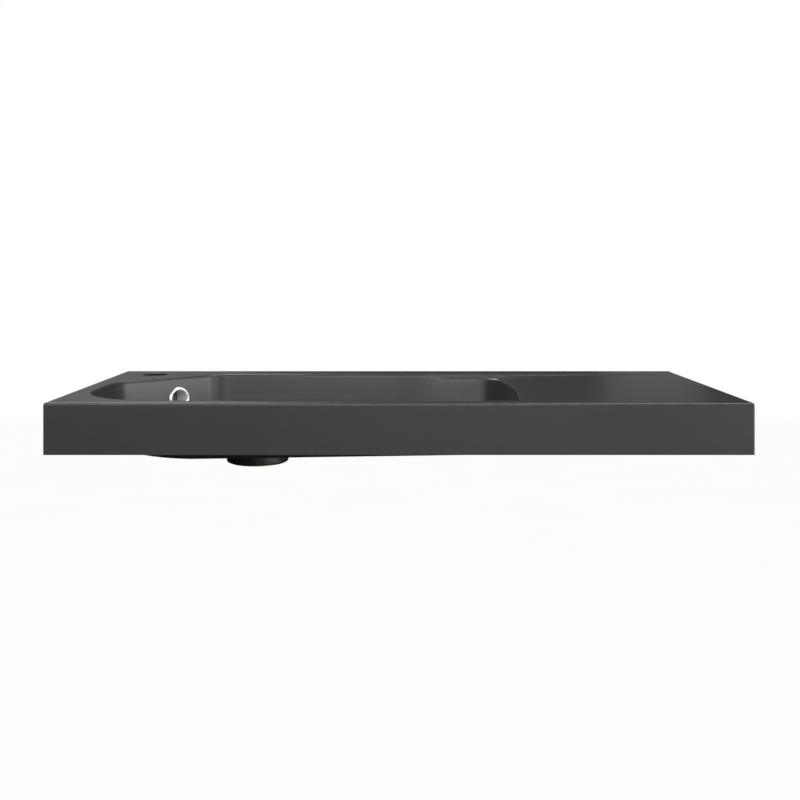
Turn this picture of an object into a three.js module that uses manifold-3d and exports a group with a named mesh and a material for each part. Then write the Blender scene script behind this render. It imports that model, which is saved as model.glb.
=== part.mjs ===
// Wall-hung washbasin: a bowl, a ramped shelf, a corner tap hole, a hose-fed overflow and a push-open waste.
// Millimetres. X runs along the basin, +Y into the wall and +Z up. The origin is the middle of the wall face.
import * as THREE from "three";
import { mergeVertices } from "three/addons/utils/BufferGeometryUtils.js";
import Module from "manifold-3d";

const wasm = await Module();
wasm.setup();

// ---- Driving dimensions -------------------------------------------------------------------------

const GAP = 0.3; // between pieces that touch
const SLIDE_CLEARANCE = 0.1; // radial, between the plug's stem and its cartridge
const HOLE_CLEARANCE = 0.4; // radial, round a tube that passes through a hole
const OVERRUN = 1; // how far a cut runs past the surface it opens, and a joined piece into its neighbour

// The casting's slab.
const BASIN_WIDTH = 820;
const BASIN_DEPTH = 400;
const APRON_HEIGHT = 60;
const APRON_WALL = 14;
const DECK_THICKNESS = 12;
const TOP_EDGE_RADIUS = 3;
const VERTICAL_EDGE_RADIUS = 2;

// The bowl's outline at the deck.
const LEFT_MARGIN = 24;
const FRONT_MARGIN = 24;
const BACK_MARGIN = 50;
const BOWL_LENGTH = 544.4; // left rim to the crown of the bowed right side
const CROWN_FROM_WALL = 190;
const BOW_BACK_ANGLE = 6; // degrees off square, behind the crown
const BOW_FRONT_ANGLE = 5;
const BOW_RADIUS = 700;
const SPLAY_FROM_WALL = 171.5; // where the 45 degree side would meet the left side
const LEDGE_WIDTH = 6; // ledge of the shelf behind the bowl
const LEDGE_LENGTH = 95;
const LEDGE_RUNOUT = 60;
const FRONT_LEFT_RADIUS = 109;
const FRONT_RIGHT_RADIUS = 48;
const BACK_RIGHT_RADIUS = 35;
const LEDGE_RADIUS = 300;
const SPLAY_RADIUS = 50;

// The bowl's depth and walls.
const RIM_RADIUS = 4;
const BOWL_WALL = 12;
const FLOOR_THICKNESS = 11.5;
const FLOOR_DEPTH = 65.5; // below the deck, at the drain
const FLOOR_SLOPE = 0.03;
const WALL_DRAFT = 4; // degrees
const FLOOR_FILLET_HEIGHT = 20;
const FLOOR_FILLET = 24; // how far the rounding reaches in at the front, right and back
const FLOOR_FILLET_LEFT = 92;
const FLOOR_FILLET_SPLAY = 12;

// The shelf: a shallow ramp that rolls over into the bowl.
const SHELF_SLOPE = 0.008; // at its right end
const SHELF_RADIUS = 17670; // the ramp steepens towards the bowl
const SHELF_END_MARGIN = 22; // flat deck left at the right end
const ROLL_RADIUS = 630;
const ROLL_LENGTH = 39; // from the crown

// The tap hole and the line at 45 degrees that the overflow and the drain lie on.
const TAP_FROM_SIDE = 55;
const TAP_FROM_WALL = 57;
const TAP_HOLE_RADIUS = 17.5;
const DRAIN_FROM_TAP = 242;
const OVERFLOW_DEPTH = 30.4;

// The drain boss: a seat plate, and under it a collar that forms the overflow chamber.
const BOSS_RADIUS = 40;
const RECESS_RADIUS = 34;
const RECESS_DEPTH = 7;
const SEAT_THICKNESS = 6.5;
const SEAT_HOLE_RADIUS = 23; // also the bore of the flange's seal
const CHAMBER_RADIUS = 33;
const REBATE_RADIUS = 36;
const REBATE_HEIGHT = 4.5;

// The overflow's ring and elbow.
const RING_RADIUS = 16.8;
const RING_BORE_RADIUS = 12.2;
const RING_TUBE_WALL = 1.2;
const RING_SPOT_RADIUS = 17.8; // of the flat that the ring sits on
const RING_PROUD = 2.6;
const RING_SEAL_WIDTH = 1.4;
const RING_SEAL_THICKNESS = 1;
const PAD_RADIUS = 21;
const PAD_THICKNESS = 14;
const ELBOW_GASKET_THICKNESS = 1.7;
const ELBOW_RADIUS = 17.5;
const ELBOW_WRAP = 1; // of elbow beyond the spigot's two sides, together
const ELBOW_WALL = 2.5;
const THREAD_LENGTH = 5.5;
const SPIGOT_REACH = 33; // from the overflow's axis to the end of the spigot

// The overflow hose, its clips and the nipple on the drain boss.
const HOSE_RADIUS = 8.5;
const HOSE_WALL = 1.7;
const HOSE_OVERLAP = 13;
const HOSE_STRAIGHT = 3; // past the spigot, before the bend
const HOSE_BEND = 25;
const SPIGOT_WALL = 1.5;
const CLIP_WIDTH = 7;
const CLIP_THICKNESS = 1;
const CLIP_LUG_LENGTH = 5;
const CLIP_LUG_HEIGHT = 3.4; // above the band
const NIPPLE_COLLAR = 5;
const NIPPLE_COLLAR_RADIUS = 8.5;
const NIPPLE_LENGTH = 18;
const NIPPLE_TUBE_RADIUS = 5.6;
const NIPPLE_TUBE_WALL = 1.1;
const NIPPLE_SEAL_THICKNESS = 1.4;

// The waste.
const FLANGE_RADIUS = 33;
const FLANGE_THICKNESS = 1.8;
const FLANGE_LIP_HEIGHT = 2.6;
const FLANGE_LIP_WIDTH = 3.6;
const FLANGE_LIP_OUTER_CHAMFER = 0.6;
const FLANGE_LIP_INNER_CHAMFER = 0.8;
const FLANGE_SEAL_THICKNESS = 1.5;
const FLANGE_SEAL_INSET = 1.5; // from the flange's edge
const TAIL_RADIUS = 20.9;
const TAIL_WALL = 3.2;
const TAIL_PROUD = 2; // below the boss
const SLOT_WIDTH = 11;
const SLOT_HEIGHT = 5;
const NUT_FLANGE_THICKNESS = 3;
const NUT_HUB_WALL = 6;
const NUT_HUB_HEIGHT = 6;
const LOWER_GASKET_THICKNESS = 2;

// The push-open plug.
const PLUG_TRAVEL = 8;
const CAP_CLEARANCE = 0.9;
const CAP_THICKNESS = 1.7;
const CAP_DOME = 1;
const CAP_EDGE_CHAMFER = 0.8;
const PLUG_SEAL_THICKNESS = 1.4;
const PLUG_SEAL_RADIUS = 26.5;
const PLUG_SEAL_WIDTH = 4;
const CARTRIDGE_DROP = 4.5; // from the cap down to the cartridge
const CARTRIDGE_RADIUS = 8.5;
const CARTRIDGE_WALL = 1.9;
const CARTRIDGE_LENGTH = 20.5;
const CARTRIDGE_BASE = 2.2;
const STEM_NECK_RADIUS = 3.5;
const STEM_OVERLAP = 3; // of stem left in the cartridge when the plug is up
const SPRING_WIRE = 1.2;
const CARTRIDGE_HEAD_WIDTH = 2;
const CARTRIDGE_HEAD_HEIGHT = 3.6;
const HUB_WALL = 2.7;
const HUB_HEIGHT = 4;
const ARM_WIDTH = 3;
const ARM_COUNT = 3;

// The wall fixings.
const FIXING_SPACING = 280;
const FIXING_DEPTH = 35;
const SLEEVE_RADIUS = 8;
const SLEEVE_BORE_RADIUS = 5.5;
const SLEEVE_COLLAR_RADIUS = 14;
const SLEEVE_COLLAR = 3;

// ---- Worked out from them -----------------------------------------------------------------------

const DEG = Math.PI / 180;
const ROUND = 32; // facets round a turned piece
const FINE = 48; // round the drain's levels in the casting
const COARSE = 24; // round the hose and what it joins
const DECK_Z = APRON_HEIGHT / 2;
const LEFT_X = -BASIN_WIDTH / 2;
const DRAFT = Math.tan(WALL_DRAFT * DEG);
const HALF = Math.SQRT1_2; // a step along the 45 degree line, in X and in -Y

const tap = new THREE.Vector2(LEFT_X + TAP_FROM_SIDE, -TAP_FROM_WALL);
const alongCorner = (distance) => new THREE.Vector2(tap.x + HALF * distance, tap.y - HALF * distance);
const drain = alongCorner(DRAIN_FROM_TAP);

const floorZ = DECK_Z - FLOOR_DEPTH;
const seatZ = floorZ - RECESS_DEPTH;
const chamberTopZ = seatZ - SEAT_THICKNESS;

// Along the nipple's axis, from the drain. The hose's clip just clears the bowl's underside, which sets the
// nipple's height, and the chamber reaches as far below the nipple as above it.
const nippleOuter = BOSS_RADIUS + 2 * GAP + NIPPLE_SEAL_THICKNESS;
const nippleEnd = nippleOuter + NIPPLE_COLLAR + NIPPLE_LENGTH;
const clipFromDrain = nippleEnd - HOSE_OVERLAP / 2;
const clipRadius = HOSE_RADIUS + GAP + CLIP_THICKNESS;
const undersideZ = floorZ + FLOOR_SLOPE * (clipFromDrain - CLIP_WIDTH / 2) - FLOOR_THICKNESS;
const nippleZ = undersideZ - GAP - clipRadius;
const rebateZ = 2 * nippleZ - chamberTopZ;
const bossBottomZ = rebateZ - REBATE_HEIGHT;

const flangeBottomZ = seatZ + 2 * GAP + FLANGE_SEAL_THICKNESS;
const plugSeatZ = flangeBottomZ + FLANGE_THICKNESS;
const capBottomZ = plugSeatZ + 2 * GAP + PLUG_SEAL_THICKNESS;
const tailBottomZ = bossBottomZ - TAIL_PROUD;
const tailBore = TAIL_RADIUS - TAIL_WALL;
const nutFlangeTopZ = rebateZ - 2 * GAP - LOWER_GASKET_THICKNESS;
const cartridgeTopZ = capBottomZ - CARTRIDGE_DROP;
const cartridgeBottomZ = cartridgeTopZ - CARTRIDGE_LENGTH;
const cartridgeBore = CARTRIDGE_RADIUS - CARTRIDGE_WALL;
const stemBottomZ = cartridgeTopZ - PLUG_TRAVEL - STEM_OVERLAP;
const stemRadius = cartridgeBore - SLIDE_CLEARANCE;
const springBottomZ = cartridgeBottomZ + CARTRIDGE_BASE + GAP;

const spigotRadius = HOSE_RADIUS - HOSE_WALL - GAP;
const spigotBore = spigotRadius - SPIGOT_WALL;
const elbowDepth = 2 * spigotRadius + ELBOW_WRAP;

// ---- Tools --------------------------------------------------------------------------------------

function solid(geometry, matrix = new THREE.Matrix4()) {
  const bare = geometry.index ? geometry.clone() : geometry;
  bare.deleteAttribute("normal");
  bare.deleteAttribute("uv");
  const merged = mergeVertices(bare.applyMatrix4(matrix), 1e-4);
  return new wasm.Manifold(
    new wasm.Mesh({
      numProp: 3,
      vertProperties: merged.attributes.position.array,
      triVerts: new Uint32Array(merged.index.array),
    }),
  );
}

function geometryOf(manifold) {
  const mesh = manifold.getMesh();
  const geometry = new THREE.BufferGeometry();
  geometry.setAttribute("position", new THREE.BufferAttribute(mesh.vertProperties, 3));
  geometry.setIndex(new THREE.BufferAttribute(mesh.triVerts, 1));
  geometry.computeVertexNormals();
  return geometry;
}

// A turned shape from its closed profile of [radius, height] pairs, up the outside and down the inside.
function turned(profile, facets = ROUND) {
  const points = [...profile, profile[0]].map(([radius, height]) => new THREE.Vector2(radius, height));
  return new THREE.LatheGeometry(points, facets).rotateX(Math.PI / 2);
}

// A disc or, with a bore, a ring between two heights.
function ring(outer, bore, low, high, facets = ROUND) {
  return turned([[bore, low], [outer, low], [outer, high], [bore, high]], facets);
}

function box(width, depth, height, x, y, z) {
  return new THREE.BoxGeometry(width, depth, height).translate(x, y, z);
}

// A closed outline from corners {x, y, radius, steps}, anticlockwise, each side moved inwards by its inset.
// Every outline from the same corners has the same number of points, so outlines can be joined into a wall.
function outline(corners, insets) {
  const count = corners.length;
  const sides = corners.map((corner, i) => {
    const next = corners[(i + 1) % count];
    const along = new THREE.Vector2(next.x - corner.x, next.y - corner.y).normalize();
    const inwards = new THREE.Vector2(-along.y, along.x);
    return { along, start: new THREE.Vector2(corner.x, corner.y).addScaledVector(inwards, insets[i]) };
  });
  return corners.flatMap((corner, i) => {
    const before = sides[(i + count - 1) % count];
    const after = sides[i];
    const turn = before.along.cross(after.along);
    const offset = after.start.clone().sub(before.start);
    const point = before.start.clone().addScaledVector(before.along, offset.cross(after.along) / turn);
    const inset = (insets[(i + count - 1) % count] + insets[i]) / 2;
    const radius = Math.max(corner.radius - Math.sign(turn) * inset, 1);
    const angle = Math.atan2(turn, before.along.dot(after.along));
    const tangent = radius * Math.tan(Math.abs(angle) / 2);
    const from = point.clone().addScaledVector(before.along, -tangent);
    const side = new THREE.Vector2(-before.along.y, before.along.x).multiplyScalar(Math.sign(turn));
    const centre = from.clone().addScaledVector(side, radius);
    return Array.from({ length: corner.steps + 1 }, (_, k) =>
      from.clone().rotateAround(centre, (angle * k) / corner.steps));
  });
}

// A closed body from a stack of rings of [x, y, z], top first, each seen anticlockwise from above.
function stacked(rings, middle) {
  const size = rings[0].length;
  const bottom = rings[rings.length - 1];
  const highest = [middle.x, middle.y, rings[0][0][2]];
  const lowest = [middle.x, middle.y, Math.min(...bottom.map((p) => p[2]))];
  const positions = [...rings.flat(), highest, lowest].flat();
  const top = rings.length * size;
  const triangles = [];
  for (let i = 0; i < size; i += 1) {
    const j = (i + 1) % size;
    for (let k = 0; k + 1 < rings.length; k += 1) {
      const a = k * size;
      const b = a + size;
      triangles.push(a + i, b + i, b + j, a + i, b + j, a + j);
    }
    const last = top - size;
    triangles.push(top, i, j, top + 1, last + j, last + i);
  }
  const geometry = new THREE.BufferGeometry();
  geometry.setAttribute("position", new THREE.Float32BufferAttribute(positions, 3));
  geometry.setIndex(triangles);
  return geometry;
}

const group = new THREE.Group();

function add(name, geometry, finish, parent = group) {
  const mesh = new THREE.Mesh(geometry, finish);
  mesh.name = name;
  parent.add(mesh);
  return mesh;
}

const finish = (color, roughness, metalness) => () =>
  new THREE.MeshStandardMaterial({ color, roughness, metalness });
const stone = finish(0x3b3b3b, 0.6, 0);
const chrome = finish(0xd9dadb, 0.12, 1);
const brass = finish(0xb79b5b, 0.35, 1);
const steel = finish(0xb8babd, 0.3, 1);
const rubber = finish(0x1b1b1c, 0.85, 0);
const greyPlastic = finish(0x8e9092, 0.5, 0);
const whitePlastic = finish(0xe4e4e0, 0.45, 0);

// ---- The casting --------------------------------------------------------------------------------

function bowlCorners() {
  const left = LEFT_X + LEFT_MARGIN;
  const front = -BASIN_DEPTH + FRONT_MARGIN;
  const back = -BACK_MARGIN;
  const ledge = back - LEDGE_WIDTH;
  const crown = left + BOWL_LENGTH;
  const backRight = crown + (ledge + CROWN_FROM_WALL) * -Math.tan(BOW_BACK_ANGLE * DEG);
  const frontRight = crown + (front + CROWN_FROM_WALL) * Math.tan(BOW_FRONT_ANGLE * DEG);
  const splay = left + SPLAY_FROM_WALL - BACK_MARGIN;
  return [
    { x: left, y: front, radius: FRONT_LEFT_RADIUS, steps: 10 },
    { x: frontRight, y: front, radius: FRONT_RIGHT_RADIUS, steps: 6 },
    { x: crown, y: -CROWN_FROM_WALL, radius: BOW_RADIUS, steps: 3 },
    { x: backRight, y: ledge, radius: BACK_RIGHT_RADIUS, steps: 6 },
    { x: backRight - LEDGE_LENGTH, y: ledge, radius: LEDGE_RADIUS, steps: 2 },
    { x: backRight - LEDGE_LENGTH - LEDGE_RUNOUT, y: back, radius: LEDGE_RADIUS, steps: 2 },
    { x: splay, y: back, radius: SPLAY_RADIUS, steps: 5 },
    { x: left, y: -SPLAY_FROM_WALL, radius: SPLAY_RADIUS, steps: 5 },
  ];
}

// How far the floor's rounding reaches in, side by side round the outline: six alike, the splay, the left.
const fillets = [...Array(6).fill(FLOOR_FILLET), FLOOR_FILLET_SPLAY, FLOOR_FILLET_LEFT];

const floorAt = (point) => floorZ + FLOOR_SLOPE * point.distanceTo(drain);
const flatRing = (points, z) => points.map((p) => [p.x, p.y, z]);

// The wall and floor of the bowl, grown outwards by a wall and downwards by a thickness.
function bowlRings(corners, wall, thickness) {
  const nominal = FLOOR_DEPTH - FLOOR_FILLET_HEIGHT;
  const rings = [];
  for (let angle = 0; angle <= 90; angle += 22.5) {
    const inwards = 1 - Math.cos(angle * DEG);
    const rise = (FLOOR_FILLET_HEIGHT + thickness) * (1 - Math.sin(angle * DEG));
    const insets = fillets.map((reach) => nominal * DRAFT - wall + (reach + wall) * inwards);
    rings.push(outline(corners, insets).map((p) => [p.x, p.y, floorAt(p) - thickness + rise]));
  }
  return rings;
}

function bowlCavity(corners) {
  const lip = [0, 30, 60, 90].map((angle) => {
    const inset = RIM_RADIUS * (Math.sin(angle * DEG) - 1);
    const z = DECK_Z - RIM_RADIUS * (1 - Math.cos(angle * DEG));
    return flatRing(outline(corners, corners.map(() => inset)), z);
  });
  const above = lip[0].map(([x, y]) => [x, y, DECK_Z + OVERRUN]);
  return solid(stacked([above, ...lip, ...bowlRings(corners, 0, 0)], drain));
}

function bowlShell(corners) {
  const z = DECK_Z - DECK_THICKNESS / 2;
  const top = flatRing(outline(corners, corners.map(() => -BOWL_WALL)), z);
  return solid(stacked([top, ...bowlRings(corners, BOWL_WALL, FLOOR_THICKNESS)], drain));
}

function slab() {
  const x = BASIN_WIDTH / 2;
  const corner = (cx, cy) => ({ x: cx, y: cy, radius: VERTICAL_EDGE_RADIUS, steps: 3 });
  const corners = [corner(-x, -BASIN_DEPTH), corner(x, -BASIN_DEPTH), corner(x, 0), corner(-x, 0)];
  const edge = [0, 45, 90].map((angle) => {
    const inset = TOP_EDGE_RADIUS * (1 - Math.sin(angle * DEG));
    const z = DECK_Z - TOP_EDGE_RADIUS * (1 - Math.cos(angle * DEG));
    return flatRing(outline(corners, corners.map(() => inset)), z);
  });
  const foot = flatRing(outline(corners, corners.map(() => 0)), -DECK_Z);
  return solid(stacked([...edge, foot], new THREE.Vector2(0, -BASIN_DEPTH / 2)));
}

function underside() {
  const height = APRON_HEIGHT - DECK_THICKNESS;
  const width = BASIN_WIDTH - 2 * APRON_WALL;
  const depth = BASIN_DEPTH - 2 * APRON_WALL;
  return solid(box(width, depth, height + OVERRUN, 0, -BASIN_DEPTH / 2, -DECK_Z + (height - OVERRUN) / 2));
}

// The space over the shelf: its ramp seen from the front, run from the front margin to the back margin.
function shelfSpace(corners) {
  const front = corners[0].y;
  const left = corners[4].x;
  const right = BASIN_WIDTH / 2 - SHELF_END_MARGIN;
  const bowlEdge = corners[2].x;
  const dip = (x) => {
    const roll = Math.max(0, bowlEdge + ROLL_LENGTH - x);
    const away = right - x;
    return SHELF_SLOPE * away + away ** 2 / (2 * SHELF_RADIUS) + roll ** 2 / (2 * ROLL_RADIUS);
  };
  const shape = new THREE.Shape();
  shape.moveTo(right, DECK_Z + OVERRUN);
  shape.lineTo(left, DECK_Z + OVERRUN);
  shape.lineTo(left, DECK_Z - dip(bowlEdge));
  const steps = 14;
  for (let k = 0; k <= steps; k += 1) {
    const x = bowlEdge + (right - bowlEdge) * (k / steps) ** 1.5;
    shape.lineTo(x, DECK_Z - dip(x));
  }
  const run = new THREE.ExtrudeGeometry(shape, { depth: -BACK_MARGIN - front, bevelEnabled: false });
  return solid(run.rotateX(Math.PI / 2).translate(0, -BACK_MARGIN, 0));
}

function aboutDrain(geometry) {
  return solid(geometry.translate(drain.x, drain.y, 0));
}

function overflowMatrix() {
  const towardsBowl = new THREE.Vector3(HALF, -HALF, DRAFT).normalize();
  const up = new THREE.Vector3(0, 0, 1).addScaledVector(towardsBowl, -towardsBowl.z).normalize();
  const side = new THREE.Vector3().crossVectors(up, towardsBowl);
  // Distance from the tap hole to the splayed wall, on the 45 degree line, at the overflow's depth.
  const splay = LEFT_MARGIN - TAP_FROM_SIDE + SPLAY_FROM_WALL - TAP_FROM_WALL;
  const centre = alongCorner(splay * HALF + OVERFLOW_DEPTH * DRAFT);
  const matrix = new THREE.Matrix4().makeBasis(side, up, towardsBowl);
  return matrix.setPosition(centre.x, centre.y, DECK_Z - OVERFLOW_DEPTH);
}

const overflowPlace = overflowMatrix();
const ringTubeRadius = RING_BORE_RADIUS + RING_TUBE_WALL;
const wallHoleRadius = ringTubeRadius + HOLE_CLEARANCE;

function basinBody() {
  const corners = bowlCorners();
  const nippleHoleRadius = NIPPLE_TUBE_RADIUS + HOLE_CLEARANCE;
  const nippleHoleLength = 3 * (BOSS_RADIUS - CHAMBER_RADIUS);
  const nippleHole = new THREE.CylinderGeometry(nippleHoleRadius, nippleHoleRadius, nippleHoleLength);
  let body = slab()
    .subtract(underside())
    .add(bowlShell(corners))
    .add(aboutDrain(ring(BOSS_RADIUS, 0, bossBottomZ, floorZ - OVERRUN, FINE)))
    .add(solid(ring(PAD_RADIUS, 0, -PAD_THICKNESS, -OVERRUN), overflowPlace))
    .subtract(bowlCavity(corners))
    .subtract(shelfSpace(corners))
    .subtract(solid(ring(TAP_HOLE_RADIUS, 0, 0, DECK_Z + OVERRUN).translate(tap.x, tap.y, 0)))
    .subtract(solid(ring(RING_SPOT_RADIUS, 0, 0, PAD_RADIUS), overflowPlace))
    .subtract(solid(ring(wallHoleRadius, 0, -PAD_THICKNESS - OVERRUN, OVERRUN), overflowPlace))
    .subtract(aboutDrain(ring(RECESS_RADIUS, 0, seatZ, floorZ + RECESS_DEPTH, FINE)))
    .subtract(aboutDrain(ring(SEAT_HOLE_RADIUS, 0, chamberTopZ - OVERRUN, seatZ + OVERRUN, FINE)))
    .subtract(aboutDrain(ring(CHAMBER_RADIUS, 0, rebateZ - OVERRUN, chamberTopZ, FINE)))
    .subtract(aboutDrain(ring(REBATE_RADIUS, 0, bossBottomZ - OVERRUN, rebateZ, FINE)))
    .subtract(solid(nippleHole, nipplePlace(BOSS_RADIUS)));
  for (const x of [-FIXING_SPACING / 2, FIXING_SPACING / 2]) {
    const bore = ring(SLEEVE_RADIUS + HOLE_CLEARANCE, 0, -OVERRUN, APRON_WALL + OVERRUN);
    const hole = bore.rotateX(Math.PI / 2);
    body = body.subtract(solid(hole.translate(x, 0, DECK_Z - FIXING_DEPTH)));
  }
  return geometryOf(body);
}

// A place on the nipple's axis, at a distance from the drain, with +Y running out along it.
function nipplePlace(distance) {
  const out = new THREE.Vector3(-HALF, HALF, 0);
  const up = new THREE.Vector3(0, 0, 1);
  const matrix = new THREE.Matrix4().makeBasis(new THREE.Vector3().crossVectors(out, up), out, up);
  return matrix.setPosition(drain.x + out.x * distance, drain.y + out.y * distance, nippleZ);
}

add("basin_body", basinBody(), stone());

// ---- The overflow -------------------------------------------------------------------------------

const overflow = new THREE.Group();
overflow.applyMatrix4(overflowPlace);
group.add(overflow);

const ringSealBore = wallHoleRadius + GAP;
const elbowFrontZ = -PAD_THICKNESS - 2 * GAP - ELBOW_GASKET_THICKNESS;
const spigotZ = elbowFrontZ - elbowDepth / 2;
const spigotEnd = new THREE.Vector3(0, -SPIGOT_REACH, spigotZ).applyMatrix4(overflowPlace);

function overflowRing() {
  const grooveTop = RING_SEAL_THICKNESS + 2 * GAP;
  const groove = ringSealBore + RING_SEAL_WIDTH + GAP;
  const bead = [0, 30, 60, 90, 120, 150, 180].map((angle) => {
    const middle = (RING_RADIUS + RING_BORE_RADIUS) / 2;
    const half = (RING_RADIUS - RING_BORE_RADIUS) / 2;
    const base = RING_PROUD - half / 2;
    return [middle + half * Math.cos(angle * DEG), base + (half / 2) * Math.sin(angle * DEG)];
  });
  return turned([
    [ringTubeRadius, elbowFrontZ - THREAD_LENGTH],
    [ringTubeRadius, grooveTop],
    [groove, grooveTop],
    [groove, GAP],
    [RING_RADIUS, GAP],
    ...bead,
    [RING_BORE_RADIUS, elbowFrontZ - THREAD_LENGTH],
  ]);
}

function overflowElbow() {
  const back = elbowFrontZ - elbowDepth;
  const spigot = (radius, reach) =>
    new THREE.CylinderGeometry(radius, radius, reach, COARSE).translate(0, -reach / 2, spigotZ);
  const threadRadius = ringTubeRadius + GAP;
  const thread = ring(threadRadius, 0, elbowFrontZ - THREAD_LENGTH - OVERRUN, elbowFrontZ + OVERRUN);
  const room = ring(ELBOW_RADIUS - ELBOW_WALL, 0, back + ELBOW_WALL, elbowFrontZ - THREAD_LENGTH - GAP);
  return geometryOf(
    solid(ring(ELBOW_RADIUS, 0, back, elbowFrontZ))
      .add(solid(spigot(spigotRadius, SPIGOT_REACH)))
      .subtract(solid(thread))
      .subtract(solid(room))
      .subtract(solid(spigot(spigotBore, SPIGOT_REACH + OVERRUN))),
  );
}

// A flat ring of rubber that stands on a height.
function washer(outer, bore, low, thickness, facets) {
  return ring(outer, bore, low, low + thickness, facets);
}

add("overflow_ring", overflowRing(), chrome(), overflow);
const ringSeal = washer(ringSealBore + RING_SEAL_WIDTH, ringSealBore, GAP, RING_SEAL_THICKNESS);
add("overflow_ring_seal", ringSeal, rubber(), overflow);
const elbowGasket = washer(ELBOW_RADIUS, ringSealBore, elbowFrontZ + GAP, ELBOW_GASKET_THICKNESS);
add("elbow_gasket", elbowGasket, rubber(), overflow);
add("overflow_elbow", overflowElbow(), greyPlastic(), overflow);

// ---- The hose -----------------------------------------------------------------------------------

// The hose hangs from the spigot, bends once and runs level to the nipple.
function hoseRoute() {
  const down = new THREE.Vector3(0, -1, 0).transformDirection(overflowPlace);
  const top = spigotEnd.clone().addScaledVector(down, -HOSE_OVERLAP);
  const bendStart = spigotEnd.clone().addScaledVector(down, HOSE_STRAIGHT);
  const out = new THREE.Vector3(-HALF, HALF, 0);
  const reach = new THREE.Vector2(bendStart.x, bendStart.y).distanceTo(drain);
  const corner = new THREE.Vector3(drain.x, drain.y, nippleZ).addScaledVector(out, reach);
  const level = corner.clone().addScaledVector(out, -HOSE_BEND);
  const end = new THREE.Vector3(drain.x, drain.y, nippleZ).addScaledVector(out, nippleEnd - HOSE_OVERLAP);
  const route = new THREE.CurvePath();
  route.add(new THREE.LineCurve3(top, bendStart));
  route.add(new THREE.QuadraticBezierCurve3(bendStart, corner, level));
  route.add(new THREE.LineCurve3(level, end));
  return route;
}

function hose() {
  const section = new THREE.Shape().absarc(0, 0, HOSE_RADIUS, 0, 2 * Math.PI);
  section.holes.push(new THREE.Path().absarc(0, 0, HOSE_RADIUS - HOSE_WALL, 0, 2 * Math.PI, true));
  return new THREE.ExtrudeGeometry(section, { steps: 24, curveSegments: 8, extrudePath: hoseRoute() });
}

// A band round the hose with its tightening lug, round +Z.
function hoseClip() {
  const band = ring(clipRadius, HOSE_RADIUS + GAP, -CLIP_WIDTH / 2, CLIP_WIDTH / 2, COARSE);
  const height = CLIP_LUG_HEIGHT + CLIP_THICKNESS / 2;
  const lug = box(CLIP_LUG_LENGTH, height, CLIP_WIDTH, 0, clipRadius + CLIP_LUG_HEIGHT - height / 2, 0);
  return geometryOf(solid(band).add(solid(lug)));
}

add("overflow_hose", hose(), greyPlastic());
const upperClip = add("hose_clip_upper", hoseClip().rotateX(Math.PI / 2), steel(), overflow);
upperClip.position.set(0, -SPIGOT_REACH + HOSE_OVERLAP / 2, spigotZ);
const lowerClip = add("hose_clip_lower", hoseClip().rotateX(Math.PI / 2).rotateY(Math.PI / 2), steel());
lowerClip.applyMatrix4(nipplePlace(clipFromDrain));

function drainNipple() {
  const inner = CHAMBER_RADIUS + GAP;
  const tube = NIPPLE_TUBE_RADIUS;
  const bore = tube - NIPPLE_TUBE_WALL;
  return turned([
    [bore, inner],
    [tube, inner],
    [tube, nippleOuter],
    [NIPPLE_COLLAR_RADIUS, nippleOuter],
    [NIPPLE_COLLAR_RADIUS, nippleOuter + NIPPLE_COLLAR],
    [spigotRadius, nippleOuter + NIPPLE_COLLAR],
    [spigotRadius, nippleEnd],
    [bore, nippleEnd],
  ], COARSE).rotateX(-Math.PI / 2);
}

add("drain_nipple", drainNipple(), brass()).applyMatrix4(nipplePlace(0));
// The seal stands a gap off the crown of the round boss.
const nippleBore = NIPPLE_TUBE_RADIUS + GAP;
const nippleSeal = washer(NIPPLE_COLLAR_RADIUS, nippleBore, BOSS_RADIUS + GAP, NIPPLE_SEAL_THICKNESS, COARSE);
add("nipple_seal", nippleSeal.rotateX(-Math.PI / 2), rubber()).applyMatrix4(nipplePlace(0));

// ---- The waste ----------------------------------------------------------------------------------

const waste = new THREE.Group();
waste.position.set(drain.x, drain.y, 0);
group.add(waste);

const hubTopZ = cartridgeTopZ - CARTRIDGE_HEAD_HEIGHT - GAP;
const hubBottomZ = hubTopZ - HUB_HEIGHT;
const hubBore = CARTRIDGE_RADIUS + GAP;

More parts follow.
